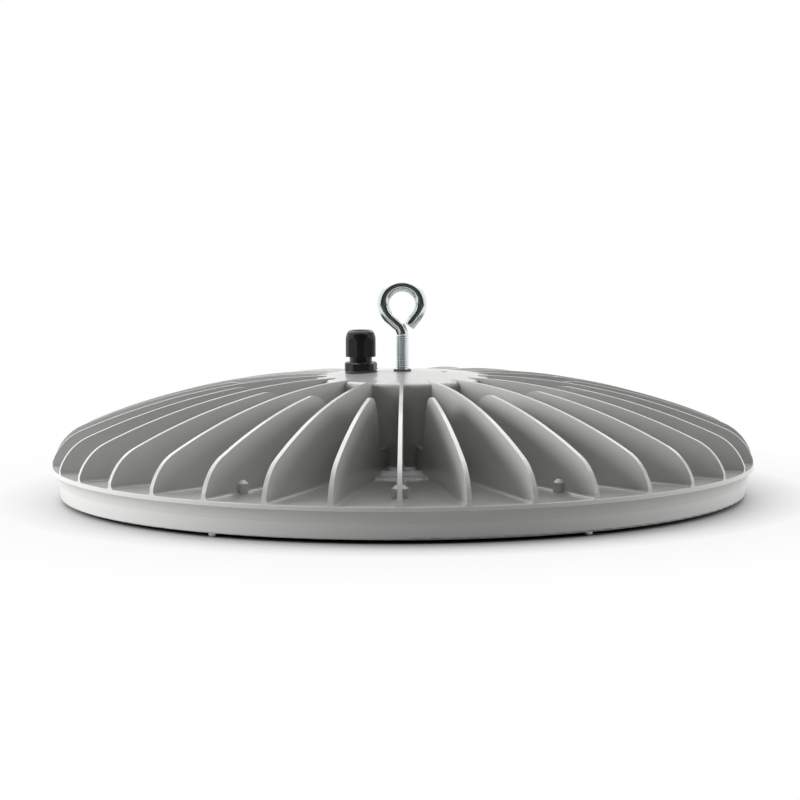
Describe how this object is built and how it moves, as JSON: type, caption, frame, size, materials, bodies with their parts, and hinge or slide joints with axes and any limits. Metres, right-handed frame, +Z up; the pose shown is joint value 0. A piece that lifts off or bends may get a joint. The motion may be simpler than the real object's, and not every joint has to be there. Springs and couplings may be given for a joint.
{
  "type": "high bay light",
  "caption": "Round high bay light: a die-cast heat sink of radial fins around a driver hub, hung from a bent-wire eye bolt beside a cable gland, with a flat clear cover underneath.",
  "frame": {"origin": "centre of the light's underside, on the plane of the rim screws' heads that it stands on", "axes": "+Z up along the light's axis to the eye bolt; the eye's flat plane and the cable gland lie in XZ, with the gland on the -X side; +Y is away from the viewer"},
  "size_m": [0.42, 0.42, 0.1287],
  "materials": {
    "grey_paint": "light grey powder coat, semi-gloss",
    "zinc_steel": "bright zinc plate",
    "screw_steel": "bright stainless steel",
    "black_nylon": "moulded black nylon, glossy",
    "seal_rubber": "dark grey rubber",
    "silicone": "pale silicone rubber",
    "board_white": "white solder mask on an aluminium board, with LEDs",
    "clear_cover": "clear polycarbonate",
    "driver_can": "potted driver case, dark grey",
    "terminal_plastic": "pale nylon",
    "terminal_brass": "plated brass",
    "bracket_steel": "zinc-plated sheet steel",
    "lid_aluminium": "plain aluminium sheet"
  },
  "bodies": {
    "root": {"heat_sink": "grey_paint", "bezel_ring": "grey_paint", "eye_bolt": "zinc_steel", "eye_washer": "zinc_steel", "eye_lock_nut": "zinc_steel", "earth_washer": "zinc_steel", "eye_seal": "seal_rubber", "gland_o_ring": "seal_rubber", "gland_insert": "seal_rubber", "gland_body": "black_nylon", "gland_dome_nut": "black_nylon", "gland_lock_nut": "black_nylon", "driver_bracket": "bracket_steel", "bracket_screws": "screw_steel", "driver_screws": "screw_steel", "led_driver": "driver_can", "terminal_block": "terminal_plastic", "terminal_screws": "terminal_brass", "earth_screw": "screw_steel", "compartment_lid": "lid_aluminium", "compartment_screws": "screw_steel", "board_screws": "screw_steel", "clear_cover": "clear_cover", "cover_gasket": "silicone", "bezel_screws": "screw_steel", "led_board_1": "board_white", "led_board_2": "board_white", "led_board_3": "board_white", "led_board_4": "board_white", "led_board_5": "board_white", "led_board_6": "board_white"}
  },
  "joints": []
}
